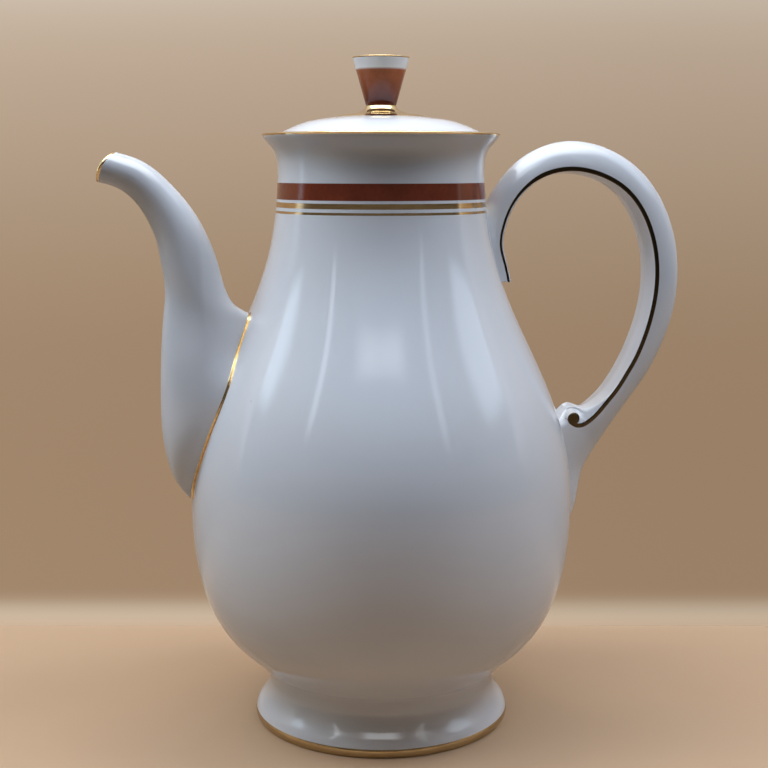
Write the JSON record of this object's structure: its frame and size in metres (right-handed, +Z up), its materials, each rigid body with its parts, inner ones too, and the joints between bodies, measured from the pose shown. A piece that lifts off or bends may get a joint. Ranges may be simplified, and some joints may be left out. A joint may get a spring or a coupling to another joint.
{
  "type": "chocolate pot",
  "caption": "Tall pear-shaped porcelain pot for hot chocolate, with a swan-neck spout, an arched scroll-ended handle and a lift-off lid with a flared knob.",
  "frame": {"origin": "centre of the foot ring's resting plane, on the pot's axis", "axes": "+Z up along the pot's axis, spout towards -X, handle towards +X"},
  "size_m": [0.223, 0.144, 0.25],
  "materials": {
    "white_porcelain": "glossy",
    "knob_enamel": "glossy"
  },
  "bodies": {
    "pot": {"pot_body": "white_porcelain", "foot_ring": "white_porcelain", "spout": "white_porcelain", "handle": "white_porcelain"},
    "lid": {"lid": "white_porcelain", "lid_knob": "knob_enamel"}
  },
  "joints": [
    {"name": "lid_lift", "type": "slide", "parent": "pot", "child": "lid", "axis": [0, 0, 1], "range_m": [0, 0.06]}
  ]
}
